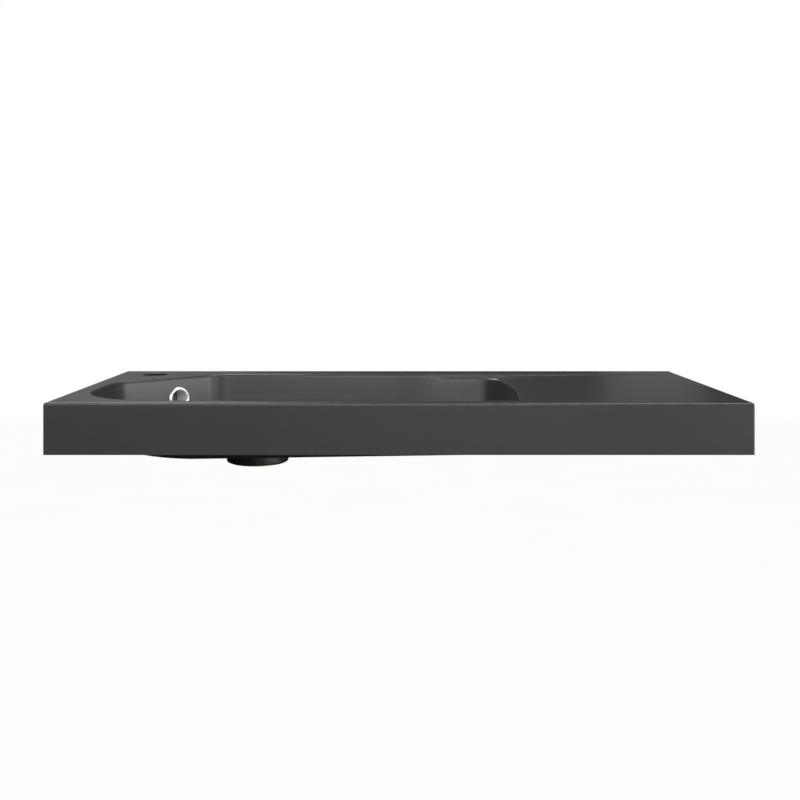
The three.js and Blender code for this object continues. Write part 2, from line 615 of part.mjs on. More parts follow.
function wasteFlange() {
  const lip = FLANGE_RADIUS - FLANGE_LIP_WIDTH;
  const lipTop = plugSeatZ + FLANGE_LIP_HEIGHT;
  const shell = turned([
    [tailBore, tailBottomZ],
    [TAIL_RADIUS, tailBottomZ],
    [TAIL_RADIUS, flangeBottomZ],
    [FLANGE_RADIUS, flangeBottomZ],
    [FLANGE_RADIUS, lipTop - FLANGE_LIP_OUTER_CHAMFER],
    [FLANGE_RADIUS - FLANGE_LIP_OUTER_CHAMFER, lipTop],
    [lip + FLANGE_LIP_INNER_CHAMFER, lipTop],
    [lip, lipTop - FLANGE_LIP_INNER_CHAMFER],
    [lip, plugSeatZ],
    [tailBore, plugSeatZ],
  ]);
  let flange = solid(shell).add(solid(ring(hubBore + HUB_WALL, 0, hubBottomZ, hubTopZ)));
  for (let k = 0; k < ARM_COUNT; k += 1) {
    const turn = (2 * Math.PI * k) / ARM_COUNT;
    const reach = tailBore + OVERRUN;
    const arm = box(reach - hubBore, ARM_WIDTH, HUB_HEIGHT, (reach + hubBore) / 2, 0, 0);
    flange = flange.add(solid(arm.translate(0, 0, (hubBottomZ + hubTopZ) / 2).rotateZ(turn)));
    const slot = box(3 * TAIL_WALL, SLOT_WIDTH, SLOT_HEIGHT, TAIL_RADIUS - TAIL_WALL / 2, 0, 0);
    const slotZ = chamberTopZ - SLOT_HEIGHT / 2;
    flange = flange.subtract(solid(slot.translate(0, 0, slotZ).rotateZ(turn + Math.PI / ARM_COUNT)));
  }
  return geometryOf(flange.subtract(solid(ring(hubBore, 0, hubBottomZ - OVERRUN, hubTopZ + OVERRUN))));
}

function backnut() {
  const bore = TAIL_RADIUS + GAP;
  const bottom = nutFlangeTopZ - NUT_FLANGE_THICKNESS;
  return turned([
    [bore, bottom],
    [REBATE_RADIUS - HOLE_CLEARANCE, bottom],
    [REBATE_RADIUS - HOLE_CLEARANCE, nutFlangeTopZ],
    [bore + NUT_HUB_WALL, nutFlangeTopZ],
    [bore + NUT_HUB_WALL, nutFlangeTopZ + NUT_HUB_HEIGHT],
    [bore, nutFlangeTopZ + NUT_HUB_HEIGHT],
  ]);
}

add("waste_flange", wasteFlange(), chrome(), waste);
const sealRadius = FLANGE_RADIUS - FLANGE_SEAL_INSET;
const flangeSeal = washer(sealRadius, SEAT_HOLE_RADIUS, seatZ + GAP, FLANGE_SEAL_THICKNESS);
add("flange_seal", flangeSeal, rubber(), waste);
const gasketRadius = REBATE_RADIUS - HOLE_CLEARANCE;
const gasketBore = TAIL_RADIUS + GAP + NUT_HUB_WALL + GAP;
const chamberGasket = washer(gasketRadius, gasketBore, nutFlangeTopZ + GAP, LOWER_GASKET_THICKNESS);
add("chamber_gasket", chamberGasket, rubber(), waste);
add("chamber_backnut", backnut(), brass(), waste);

// ---- The push-open plug -------------------------------------------------------------------------

const capRadius = FLANGE_RADIUS - FLANGE_LIP_WIDTH - CAP_CLEARANCE;

function plugCap() {
  const top = capBottomZ + CAP_THICKNESS;
  const dome = [0, 1, 2, 3].map((k) => {
    const share = k / 4;
    return [(capRadius - CAP_EDGE_CHAMFER) * (1 - share), top + CAP_DOME * (1 - (1 - share) ** 2)];
  });
  return turned([
    [0, capBottomZ],
    [capRadius, capBottomZ],
    [capRadius, top - CAP_EDGE_CHAMFER],
    ...dome,
    [0, top + CAP_DOME],
  ]);
}

function plugStem() {
  return turned([
    [0, stemBottomZ],
    [stemRadius, stemBottomZ],
    [stemRadius, cartridgeTopZ],
    [STEM_NECK_RADIUS, cartridgeTopZ],
    [STEM_NECK_RADIUS, capBottomZ - GAP],
    [0, capBottomZ - GAP],
  ]);
}

function pushCartridge() {
  const base = cartridgeBottomZ + CARTRIDGE_BASE;
  const head = CARTRIDGE_RADIUS + CARTRIDGE_HEAD_WIDTH;
  return turned([
    [0, cartridgeBottomZ],
    [CARTRIDGE_RADIUS, cartridgeBottomZ],
    [CARTRIDGE_RADIUS, hubTopZ + GAP],
    [head, hubTopZ + GAP],
    [head, cartridgeTopZ],
    [cartridgeBore, cartridgeTopZ],
    [cartridgeBore, base],
    [0, base],
  ]);
}

add("push_cartridge", pushCartridge(), whitePlastic(), waste);
const springOuter = stemRadius - GAP;
const spring = ring(springOuter, springOuter - SPRING_WIRE, springBottomZ, stemBottomZ - GAP, COARSE);
add("cartridge_spring", spring, steel(), waste);
add("plug_stem", plugStem(), brass(), waste);
add("plug_cap", plugCap(), chrome(), waste);
const plugSealBore = PLUG_SEAL_RADIUS - PLUG_SEAL_WIDTH;
const plugSeal = washer(PLUG_SEAL_RADIUS, plugSealBore, plugSeatZ + GAP, PLUG_SEAL_THICKNESS);
add("plug_seal", plugSeal, rubber(), waste);

// ---- The wall fixings ---------------------------------------------------------------------------

// A plastic sleeve that centres the wall's stud, entered from the hollow underside.
function fixingSleeve() {
  return turned([
    [SLEEVE_BORE_RADIUS, GAP],
    [SLEEVE_RADIUS, GAP],
    [SLEEVE_RADIUS, APRON_WALL + GAP],
    [SLEEVE_COLLAR_RADIUS, APRON_WALL + GAP],
    [SLEEVE_COLLAR_RADIUS, APRON_WALL + GAP + SLEEVE_COLLAR],
    [SLEEVE_BORE_RADIUS, APRON_WALL + GAP + SLEEVE_COLLAR],
  ]).rotateX(Math.PI / 2);
}

for (const [side, sign] of [["left", -1], ["right", 1]]) {
  const sleeve = add(`fixing_sleeve_${side}`, fixingSleeve(), whitePlastic());
  sleeve.position.set((sign * FIXING_SPACING) / 2, 0, DECK_Z - FIXING_DEPTH);
}

export default group;
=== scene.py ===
# %% [markdown]
# # A wall-hung washbasin in dark cast stone
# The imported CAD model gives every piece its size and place. This file gives the pieces their finished
# surfaces: the casting with its rounded rims, the chromed overflow ring and waste, the ribbed hose, and
# the studio round them. All lengths are in metres. X runs along the basin, +Y points into the wall and +Z
# up.

# %% Load the frame
import math

import bmesh
import bpy
import numpy as np
from mathutils import Matrix, Vector


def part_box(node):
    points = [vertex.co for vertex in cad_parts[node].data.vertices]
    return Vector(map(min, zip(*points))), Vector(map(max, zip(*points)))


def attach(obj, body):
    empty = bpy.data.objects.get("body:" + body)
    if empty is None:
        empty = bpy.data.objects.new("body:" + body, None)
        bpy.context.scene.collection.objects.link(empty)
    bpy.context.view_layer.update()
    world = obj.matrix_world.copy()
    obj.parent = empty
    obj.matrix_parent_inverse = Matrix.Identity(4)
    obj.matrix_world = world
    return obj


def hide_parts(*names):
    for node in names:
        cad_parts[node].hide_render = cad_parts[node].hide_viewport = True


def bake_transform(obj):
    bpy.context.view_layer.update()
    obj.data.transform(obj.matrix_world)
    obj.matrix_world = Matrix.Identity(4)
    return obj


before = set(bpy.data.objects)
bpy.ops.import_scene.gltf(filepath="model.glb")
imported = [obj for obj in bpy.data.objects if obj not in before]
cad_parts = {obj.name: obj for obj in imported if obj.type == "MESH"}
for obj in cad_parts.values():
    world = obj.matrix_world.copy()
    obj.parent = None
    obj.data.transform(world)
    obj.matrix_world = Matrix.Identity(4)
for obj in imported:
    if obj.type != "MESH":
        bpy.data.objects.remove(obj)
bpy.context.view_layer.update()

MM = 0.001
body_low, body_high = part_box("basin_body")

# %% [markdown]
# ## Small helpers
# Blender's operators act on whatever is selected, so each helper first deselects everything and then
# picks one piece. Modifiers are applied at once, so that a finished piece is a plain mesh with its place
# in its vertices.


# %% Selecting, modifying and cutting
def pick(piece):
    bpy.ops.object.select_all(action="DESELECT")
    piece.select_set(True)
    bpy.context.view_layer.objects.active = piece
    return piece


def apply_modifier(piece, kind, **settings):
    pick(piece)
    modifier = piece.modifiers.new(kind.lower(), kind)
    for name, value in settings.items():
        setattr(modifier, name, value)
    bpy.ops.object.modifier_apply(modifier=modifier.name)
    return piece


def cut(piece, tool, operation="DIFFERENCE"):
    apply_modifier(piece, "BOOLEAN", object=tool, operation=operation, solver="MANIFOLD")
    bpy.data.objects.remove(tool)
    return piece


def pick_in_edit(piece, mode, test):
    """Leaves the piece in edit mode with the faces or edges selected that pass the test."""
    pick(piece)
    bpy.ops.object.mode_set(mode="EDIT")
    bpy.ops.mesh.select_mode(type=mode)
    bpy.ops.mesh.select_all(action="DESELECT")
    mesh = bmesh.from_edit_mesh(piece.data)
    for element in mesh.faces if mode == "FACE" else mesh.edges:
        if test(element):
            element.select_set(True)
    mesh.select_flush_mode()
    bmesh.update_edit_mesh(piece.data)


def leave_edit():
    bpy.ops.object.mode_set(mode="OBJECT")


def smooth(piece, angle=30):
    pick(piece)
    bpy.ops.object.shade_smooth_by_angle(angle=math.radians(angle))
    apply_modifier(piece, "WEIGHTED_NORMAL", keep_sharp=True, weight=50)
    return piece


def outward(piece):
    """Merges doubles and turns every face to point out of the closed shape."""
    pick(piece)
    bpy.ops.object.mode_set(mode="EDIT")
    bpy.ops.mesh.select_all(action="SELECT")
    bpy.ops.mesh.remove_doubles(threshold=1e-6)
    bpy.ops.mesh.delete_loose(use_faces=False)
    bpy.ops.mesh.select_all(action="SELECT")
    bpy.ops.mesh.normals_make_consistent(inside=False)
    leave_edit()
    return piece


def block(location, scale):
    """A box at a place, with the place and the size in its vertices."""
    bpy.ops.object.select_all(action="DESELECT")
    bpy.ops.mesh.primitive_cube_add(size=1, location=location, scale=scale)
    bpy.ops.object.transform_apply(location=True, rotation=True, scale=True)
    return bpy.context.object


# %% [markdown]
# ## Turned pieces
# Most fittings are turned on a lathe, so they are modelled as a turner would draw them: half of the
# section, as a ring of corners, spun round an axis. A circle primitive supplies the ring, its corners are
# put where the section has them, and the spin operator sweeps it. The piece is made upright at the origin
# and then moved to its place in edit mode.


# %% Spin a section round an axis
def turned(name, section, place=Matrix.Identity(4), steps=96, edge=0.0):
    """section is a closed list of (radius, height); edge is the width of the bevel on its corners."""
    bpy.ops.object.select_all(action="DESELECT")
    bpy.ops.mesh.primitive_circle_add(vertices=len(section), radius=1, fill_type="NOTHING")
    piece = bpy.context.object
    piece.name = name
    for vertex, (radius, height) in zip(piece.data.vertices, section):
        vertex.co = (max(radius, 0.0), 0.0, height)
    bpy.ops.object.mode_set(mode="EDIT")
    bpy.ops.mesh.select_all(action="SELECT")
    bpy.ops.mesh.spin(steps=steps, angle=2 * math.pi, center=(0, 0, 0), axis=(0, 0, 1))
    leave_edit()
    outward(piece)
    if edge:
        apply_modifier(piece, "BEVEL", width=edge, segments=3, limit_method="ANGLE",
                       angle_limit=math.radians(35))
    piece.data.transform(place)
    return smooth(piece)


def standing(place, y_axis, z_axis):
    """The matrix that stands a piece at a place, with its own Y and Z along these directions."""
    matrix = Matrix((y_axis.cross(z_axis), y_axis, z_axis)).transposed().to_4x4()
    matrix.translation = place
    return matrix


def ring_section(outer, bore, low, high):
    return [(bore, low), (outer, low), (outer, high), (bore, high)]


def arc(centre, radius, start, end, steps):
    """Points of an arc in a section, from one angle to another in degrees."""
    angles = [math.radians(start + (end - start) * k / steps) for k in range(steps + 1)]
    return [(centre[0] + radius * math.cos(a), centre[1] + radius * math.sin(a)) for a in angles]


# %% [markdown]
# ## The casting's own measures
# The bowl's outline is a list of corners, each with the radius of its rounding. They are the same
# measures as the CAD model's, written here in millimetres because this file can't read that one.

# %% Measures of the casting
deck_z = body_high.z
apron_z = deck_z - 60 * MM
APRON_WALL = 14 * MM
DECK_THICKNESS = 12 * MM
BOWL_WALL = 12 * MM
FLOOR_THICKNESS = 11.5 * MM
FLOOR_DEPTH = 65.5 * MM
FLOOR_SLOPE = 0.03
FLOOR_ROUND_HEIGHT = 20 * MM
DRAFT = math.tan(math.radians(4))
RIM_RADIUS = 4 * MM

left_rim = body_low.x + 24 * MM
front_rim = body_low.y + 24 * MM
back_rim = body_high.y - 50 * MM
ledge_line = back_rim - 6 * MM
crown = Vector((left_rim + 544.4 * MM, body_high.y - 190 * MM))
back_right = crown.x - (ledge_line - crown.y) * math.tan(math.radians(6))
front_right = crown.x - (crown.y - front_rim) * math.tan(math.radians(5))
splay_start = body_high.y - 171.5 * MM
tap = Vector((body_low.x + 55 * MM, body_high.y - 57 * MM))
drain = tap + Vector((1, -1)).normalized() * 242 * MM
TAP_HOLE_RADIUS = 17.5 * MM
FIXING_X = 140 * MM
fixing_z = deck_z - 35 * MM

# Each corner: x, y, radius of its rounding in mm, segments of the rounding, and how far the floor's rounding
# reaches in along the side that starts there, in mm.
BOWL_CORNERS = [
    (left_rim, front_rim, 109, 22, 24),
    (front_right, front_rim, 48, 12, 24),
    (crown.x, crown.y, 700, 10, 24),
    (back_right, ledge_line, 35, 12, 24),
    (back_right - 95 * MM, ledge_line, 300, 10, 24),
    (back_right - 155 * MM, back_rim, 300, 10, 24),
    (left_rim - splay_start + back_rim, back_rim, 50, 12, 12),
    (left_rim, splay_start, 50, 12, 92),
]
print("drain centre in mm:", [round(c / MM, 1) for c in drain])


# %% [markdown]
# ## The bowl's outline, at any depth
# A wall that leans and a floor that rounds up into it are one outline drawn again and again, each time a
# little smaller. Blender's inset operator shrinks every side alike, but this floor reaches further in at
# the left end, so the outline is worked out here with an inset of its own for each side, and the rings
# are bridged into a skin.


# %% Draw the outline with an inset for each side
def outline(corners, insets):
    count = len(corners)
    starts, directions = [], []
    for i, corner in enumerate(corners):
        here, ahead = Vector(corner[:2]), Vector(corners[(i + 1) % count][:2])
        along = (ahead - here).normalized()
        directions.append(along)
        starts.append(here + Vector((-along.y, along.x)) * insets[i])
    points = []
    for i, corner in enumerate(corners):
        before, after = directions[i - 1], directions[i]
        turn = before.x * after.y - before.y * after.x
        offset = starts[i] - starts[i - 1]
        meeting = starts[i - 1] + before * ((offset.x * after.y - offset.y * after.x) / turn)
        sign = math.copysign(1, turn)
        radius = max(corner[2] * MM - sign * (insets[i - 1] + insets[i]) / 2, MM)
        angle = math.atan2(turn, before.dot(after))
        first = meeting - before * radius * math.tan(abs(angle) / 2)
        centre = first + Vector((-before.y, before.x)) * sign * radius
        spoke = first - centre
        for k in range(corner[3] + 1):
            share = angle * k / corner[3]
            points.append(centre + Vector((spoke.x * math.cos(share) - spoke.y * math.sin(share),
                                           spoke.x * math.sin(share) + spoke.y * math.cos(share))))
    return points


def floor_z(point):
    return deck_z - FLOOR_DEPTH + FLOOR_SLOPE * (point - drain).length


# %% The shelf's ramp and the height of the bowl's lip
ramp_start = crown.x - 8 * MM
ramp_end = body_high.x - 22 * MM
RAMP_SLOPE = 0.008
RAMP_CURVE = 0.0283
ROLL_LENGTH = 47 * MM
ROLL_RADIUS = 630 * MM


def ramp_depth(x):
    """How far the shelf lies below the deck: nothing at its right end, most where it rolls into the bowl."""
    x = max(x, ramp_start)
    away = ramp_end - x
    roll = max(0.0, ramp_start + ROLL_LENGTH - x)
    return away * (RAMP_SLOPE + RAMP_CURVE * away) + roll * roll / (2 * ROLL_RADIUS)


def ease(value, start, end):
    share = min(max((value - start) / (end - start), 0.0), 1.0)
    return share * share * (3 - 2 * share)


def pocket_depth(x):
    """The shelf runs on behind the bowl as a narrow ledge, which rises to the deck at its left end."""
    return ramp_depth(x) * ease(x, 34 * MM, 70 * MM)


def lip_z(point):
    """The bowl's lip is at the deck all round, but at the shelf's level along the shelf and its ledge."""
    return deck_z - pocket_depth(point.x) * ease(point.y, front_rim + 4.5 * MM, front_rim + 8 * MM)


print("shelf depth at the bowl in mm:", round(ramp_depth(ramp_start) / MM, 2))


# %% Bridge the rings into a closed shape
def stacked(name, rings, thickness=0.0):
    """A closed shape from rings of points, top first, with its lowest point under the drain's centre."""
    size = len(rings[0])
    points = [tuple(p) for ring in rings for p in ring]
    faces = []
    for level in range(len(rings) - 1):
        a, b = level * size, (level + 1) * size
        faces += [(a + i, b + i, b + (i + 1) % size, a + (i + 1) % size) for i in range(size)]
    top, bottom = len(points), len(points) + 1
    points += [(drain.x, drain.y, rings[0][0][2]), (drain.x, drain.y, floor_z(drain) - thickness)]
    last = (len(rings) - 1) * size
    faces += [(top, i, (i + 1) % size) for i in range(size)]
    faces += [(bottom, last + (i + 1) % size, last + i) for i in range(size)]
    mesh = bpy.data.meshes.new(name)
    mesh.from_pydata(points, [], faces)
    piece = bpy.data.objects.new(name, mesh)
    bpy.context.collection.objects.link(piece)
    return outward(piece)


def bowl_wall_rings(wall, thickness, steps=12):
    """The rounding from the leaning wall into the floor, grown outwards by a wall and down by a thickness."""
    leaned = (FLOOR_DEPTH - FLOOR_ROUND_HEIGHT) * DRAFT
    rings = []
    for k in range(steps + 1):
        angle = math.pi / 2 * k / steps
        insets = [leaned - wall + (c[4] * MM + wall) * (1 - math.cos(angle)) for c in BOWL_CORNERS]
        rise = (FLOOR_ROUND_HEIGHT + thickness) * (1 - math.sin(angle))
        rings.append([(p.x, p.y, floor_z(p) - thickness + rise) for p in outline(BOWL_CORNERS, insets)])
    return rings


def bowl_space():
    lip = []
    for k in range(9):
        angle = math.pi / 2 * k / 8
        inset = RIM_RADIUS * (math.sin(angle) - 1)
        drop = RIM_RADIUS * (1 - math.cos(angle))
        base = outline(BOWL_CORNERS, [0.0] * len(BOWL_CORNERS))
        points = outline(BOWL_CORNERS, [inset] * len(BOWL_CORNERS))
        lip.append([(p.x, p.y, lip_z(q) - drop) for p, q in zip(points, base)])
    above = [(x, y, deck_z + MM) for x, y, z in lip[0]]
    return stacked("bowl_space", [above, *lip, *bowl_wall_rings(0, 0)])


def bowl_shell():
    grown = outline(BOWL_CORNERS, [-BOWL_WALL] * len(BOWL_CORNERS))
    top = [(p.x, p.y, deck_z - DECK_THICKNESS / 2) for p in grown]
    return stacked("bowl_shell", [top, *bowl_wall_rings(BOWL_WALL, FLOOR_THICKNESS)], FLOOR_THICKNESS)


# %% [markdown]
# ## The casting: a slab, hollowed from below
# The slab starts as a cube primitive at the CAD box's size. Its upright and top edges get their roundings
# from the bevel operator, and its underside is inset by the apron's wall and extruded up to the deck, as
# a mould would leave it.


# %% Slab with its apron
def bisect(piece, place, axis):
    """Adds edges across the piece, so that no face has a hole in its middle once the openings are cut."""
    pick(piece)
    bpy.ops.object.mode_set(mode="EDIT")
    bpy.ops.mesh.select_all(action="SELECT")
    bpy.ops.mesh.bisect(plane_co=place, plane_no=[axis == name for name in "XYZ"])
    leave_edit()


def slab():
    size = (body_high.x - body_low.x, body_high.y - body_low.y, deck_z - apron_z)
    piece = block((0, (body_low.y + body_high.y) / 2, (deck_z + apron_z) / 2), size)
    pick_in_edit(piece, "FACE", lambda f: f.normal.z < -0.9)
    bpy.ops.mesh.inset(thickness=APRON_WALL)
    bpy.ops.mesh.extrude_region_move(
        TRANSFORM_OT_translate={"value": (0, 0, deck_z - DECK_THICKNESS - apron_z)})
    leave_edit()
    pick_in_edit(piece, "EDGE", lambda e: abs(e.verts[0].co.z - e.verts[1].co.z) > 55 * MM)
    bpy.ops.mesh.bevel(offset=2 * MM, segments=5, affect="EDGES")
    leave_edit()
    pick_in_edit(piece, "EDGE", lambda e: all(v.co.z > deck_z - MM for v in e.verts))
    bpy.ops.mesh.bevel(offset=3 * MM, segments=7, affect="EDGES")
    leave_edit()
    for x in (tap.x, drain.x, -FIXING_X, 0, FIXING_X, 250 * MM):
        bisect(piece, (x, 0, 0), "X")
    for y in (tap.y, drain.y, -330 * MM):
        bisect(piece, (0, y, 0), "Y")
    bisect(piece, (0, 0, fixing_z), "Z")
    return piece


# %% The space over the shelf
def shelf_space():
    """A shallow pocket, drawn as a section across the basin that is swept along the ramp."""
    low, high = front_rim + 0.5 * MM, back_rim - 0.5 * MM
    ledge = np.linspace(35 * MM, 72 * MM, 17)
    stations = np.concatenate([ledge, np.linspace(ramp_start, ramp_end - 12 * MM, 60)])
    sections = []
    for x in stations:
        depth = pocket_depth(x)
        rounding = min(2.2 * MM, 0.4 * depth)
        half = [(high + rounding, deck_z + MM)]
        half += arc((high + rounding, deck_z - rounding), rounding, 90, 180, 6)
        half += arc((high - rounding, deck_z - depth + rounding), rounding, 360, 270, 6)
        mirrored = [(low + high - y, z) for y, z in reversed(half)]
        sections.append([(x, y, z) for y, z in half + mirrored])
    size = len(sections[0])
    points = [p for section in sections for p in section]
    faces = [tuple(range(size)), tuple(range(len(points) - size, len(points)))]
    for k in range(len(sections) - 1):
        a, b = k * size, (k + 1) * size
        faces += [(a + i, a + (i + 1) % size, b + (i + 1) % size, b + i) for i in range(size)]
    mesh = bpy.data.meshes.new("shelf_space")
    mesh.from_pydata(points, [], faces)
    piece = bpy.data.objects.new("shelf_space", mesh)
    bpy.context.collection.objects.link(piece)
    return outward(piece)


# %% The drain boss and its levels
seat_z = deck_z - FLOOR_DEPTH - 7 * MM
chamber_top_z = seat_z - 6.5 * MM
boss_z = body_low.z
rebate_z = boss_z + 4.5 * MM
at_drain = Matrix.Translation((drain.x, drain.y, 0))
at_tap = Matrix.Translation((tap.x, tap.y, 0))


def at_fixing(x):
    return Matrix.Translation((x, 0, fixing_z)) @ Matrix.Rotation(math.pi / 2, 4, "X")


def boss():
    r, low, high = 40 * MM, boss_z, deck_z - FLOOR_DEPTH - MM
    edge = 2.5 * MM
    section = [(0, low), *arc((r - edge, low + edge), edge, -90, 0, 7), (r, high), (0, high)]
    return turned("boss", section, at_drain)


def drain_space():
    top = deck_z - FLOOR_DEPTH
    section = [(0, boss_z - MM), (36 * MM, boss_z - MM), (36 * MM, rebate_z), (33 * MM, rebate_z),
               (33 * MM, chamber_top_z), (23 * MM, chamber_top_z), (23 * MM, seat_z), (34 * MM, seat_z),
               *arc((35.5 * MM, top - 1.5 * MM), 1.5 * MM, 180, 90, 4), (35.5 * MM, top + 3 * MM),
               (0, top + 3 * MM)]
    return turned("drain_space", section, at_drain)


# %% The overflow's place: on the splayed wall, square to it
OVERFLOW_DEPTH = 30.4 * MM
OVERFLOW_HOLE_RADIUS = 13.8 * MM
RING_SPOT_RADIUS = 17.8 * MM
PAD_DEPTH = 14 * MM
into_bowl = Vector((1, -1, DRAFT * math.sqrt(2))).normalized()
upwards = (Vector((0, 0, 1)) - into_bowl * into_bowl.z).normalized()
splay_away = ((left_rim - splay_start) - (tap.x - tap.y)) / math.sqrt(2)
overflow_xy = tap + Vector((1, -1)).normalized() * (splay_away + OVERFLOW_DEPTH * DRAFT)
at_overflow = standing(Vector((*overflow_xy, deck_z - OVERFLOW_DEPTH)), upwards, into_bowl)
print("overflow centre in mm:", [round(c / MM, 1) for c in at_overflow.translation])

# %% The nipple's place: on the boss, towards the corner
nipple_z = (chamber_top_z + rebate_z) / 2
to_corner = Vector((-1, 1, 0)).normalized()
at_nipple = standing(Vector((drain.x, drain.y, nipple_z)), Vector((0, 0, -1)), to_corner)


def hole(radius, low, high, place, flare=0.0):
    """A round cutting tool, flared at its upper end to leave a rounded edge."""
    top = [(radius, high), (0, high)]
    if flare:
        rounding = arc((radius + flare, high - MM - flare), flare, 180, 90, 5)
        top = [*rounding, (radius + flare, high), (0, high)]
    return turned("hole", [(0, low), (radius, low), *top], place)


# %% Put the casting together
def casting():
    piece = slab()
    cut(piece, bowl_shell(), "UNION")
    cut(piece, boss(), "UNION")
    pad = [(0, -PAD_DEPTH), (21 * MM, -PAD_DEPTH), (21 * MM, -MM), (0, -MM)]
    cut(piece, turned("pad", pad, at_overflow), "UNION")
    cut(piece, shelf_space())
    cut(piece, bowl_space())
    cut(piece, hole(TAP_HOLE_RADIUS, 0, deck_z + MM, at_tap, flare=0.7 * MM))
    cut(piece, hole(RING_SPOT_RADIUS, 0, 20 * MM, at_overflow))
    cut(piece, hole(OVERFLOW_HOLE_RADIUS, -15 * MM, 5 * MM, at_overflow))
    cut(piece, drain_space())
    cut(piece, hole(6 * MM, 30 * MM, 45 * MM, at_nipple))
    for x in (-FIXING_X, FIXING_X):
        cut(piece, hole(8.4 * MM, -MM, 15 * MM, at_fixing(x)))
    piece.name = "casting"
    apply_modifier(piece, "TRIANGULATE", min_vertices=5)
    return smooth(piece, 25)


casting_piece = casting()
print("casting:", len(casting_piece.data.polygons), "faces")


# %% [markdown]
# ## The overflow: ring, gaskets, elbow, hose
# The ring is a chromed screw-in rosette with a rolled bead. Behind the wall an elbow turns the water down
# into a ribbed hose, which a worm clip holds at each end. The rings are lathe work. The elbow is joined
# and hollowed by Boolean, because it really is two tubes that meet.

# %% Heights along the overflow's axis
GAP = 0.3 * MM
RING_BORE = 12.2 * MM
RING_TUBE = 13.4 * MM
gasket_front = -PAD_DEPTH - GAP
elbow_front = gasket_front - 1.7 * MM - GAP
elbow_back = elbow_front - 14 * MM
spigot_z = (elbow_front + elbow_back) / 2
thread_end = elbow_front - 5.5 * MM


def barbs(end, count):
    """Points of a hose barb's teeth, from its open end down."""
    teeth = []
    for k in range(count):
        z = (end - 3 * k) * MM
        teeth += [(6.0 * MM, z), (6.65 * MM, z - 2.6 * MM)]
    return teeth


def overflow_ring():
    bead = arc((0, 0), 1, 0, 180, 20)
    middle, half = (16.8 * MM + RING_BORE) / 2, (16.8 * MM - RING_BORE) / 2
    rolled = [(middle + half * c, 1.45 * MM + 1.15 * MM * s) for c, s in bead]
    thread = []
    for k in range(6):
        z = thread_end + (5.2 - 0.9 * k) * MM
        thread += [(RING_TUBE, z), (RING_TUBE - 0.4 * MM, z - 0.45 * MM)]
    section = [(15.8 * MM, 1.6 * MM), (15.8 * MM, GAP), (16.8 * MM, GAP), *rolled, (RING_BORE, thread_end),
               (RING_TUBE - 0.4 * MM, thread_end), *reversed(thread), (RING_TUBE, 1.6 * MM)]
    return turned("overflow_rosette", section, at_overflow, steps=128)


def overflow_elbow():
    outside = [(0, elbow_back), (17.5 * MM, elbow_back), (17.5 * MM, elbow_front), (0, elbow_front)]
    body = turned("elbow", outside, steps=96, edge=0.8 * MM)
    down = Matrix.Translation((0, 0, spigot_z)) @ Matrix.Rotation(math.pi / 2, 4, "X")
    spigot = [(0, 10 * MM), (6.1 * MM, 10 * MM), *reversed(barbs(33, 4)), (0, 33 * MM)]
    cut(body, turned("spigot", spigot, down), "UNION")
    for k in range(16):
        angle = 2 * math.pi * k / 16
        if abs(math.sin(angle) + 1) > 0.35:
            at_rib = Matrix.Rotation(angle, 4, "Z") @ Matrix.Translation((17.5 * MM, 0, 0))
            low, high = elbow_back + 2 * MM, elbow_front - 2 * MM
            section = [(0, low), (0.9 * MM, low), (0.9 * MM, high), (0, high)]
            cut(body, turned("rib", section, at_rib, steps=12), "UNION")
    cut(body, hole(RING_TUBE + GAP, thread_end - MM, elbow_front + MM, Matrix.Identity(4)))
    cut(body, hole(15 * MM, elbow_back + 2.5 * MM, thread_end - GAP, Matrix.Identity(4)))
    cut(body, hole(5 * MM, 0, 34 * MM, down))
    body.name = "overflow_bend"
    body.data.transform(at_overflow)
    return smooth(body)


# %% The hose's route, as points
def hose_route():
    spigot_end = at_overflow @ Vector((0, -33 * MM, spigot_z))
    down = -upwards
    top, bend = spigot_end - down * 13 * MM, spigot_end + down * 3 * MM
    centre = Vector((drain.x, drain.y, nipple_z))
    corner = centre + to_corner * (bend.xy - drain).length
    level = corner - to_corner * 25 * MM
    end = centre + to_corner * 52 * MM
    points = [top.lerp(bend, k / 16) for k in range(16)]
    for k in range(24):
        t = k / 24
        points.append(bend * (1 - t) ** 2 + corner * 2 * t * (1 - t) + level * t * t)
    points += [level.lerp(end, k / 24) for k in range(25)]
    return points


def hose():
    """The hose is turned straight with its ribs and then bent along its route by a curve modifier."""
    points = hose_route()
    length = sum((b - a).length for a, b in zip(points, points[1:]))
    curve = bpy.data.curves.new("hose_route", "CURVE")
    curve.dimensions = "3D"
    curve.twist_mode = "MINIMUM"
    line = curve.splines.new("POLY")
    line.points.add(len(points) - 1)
    for spot, point in zip(line.points, points):
        spot.co = (*point, 1)
    route = bpy.data.objects.new("hose_route", curve)
    bpy.context.collection.objects.link(route)

    cuff, pitch = 13.5 * MM, 2.8 * MM
    ribs = int((length - 2 * cuff) / pitch)
    pitch = (length - 2 * cuff) / ribs
    wave = []
    for k in range(ribs * 6 + 1):
        crest = 0.5 + 0.5 * math.cos(2 * math.pi * k / 6)
        wave.append((7.55 * MM + 0.95 * MM * crest ** 0.7, cuff + pitch * k / 6))
    inside = [(6.8 * MM, length * k / 60) for k in range(60, -1, -1)]
    outside_low = [(8.5 * MM, cuff * k / 8) for k in range(8)]
    outside_high = [(8.5 * MM, length - cuff * k / 8) for k in range(7, -1, -1)]
    section = [*outside_low, *wave, *outside_high, *inside]
    piece = turned("overflow_tube", section, steps=48)
    apply_modifier(piece, "CURVE", object=route, deform_axis="POS_Z")
    bpy.data.objects.remove(route)
    bpy.data.curves.remove(curve)
    print("the hose is", round(length / MM, 1), "mm long with", ribs, "ribs")
    return smooth(piece, 60)


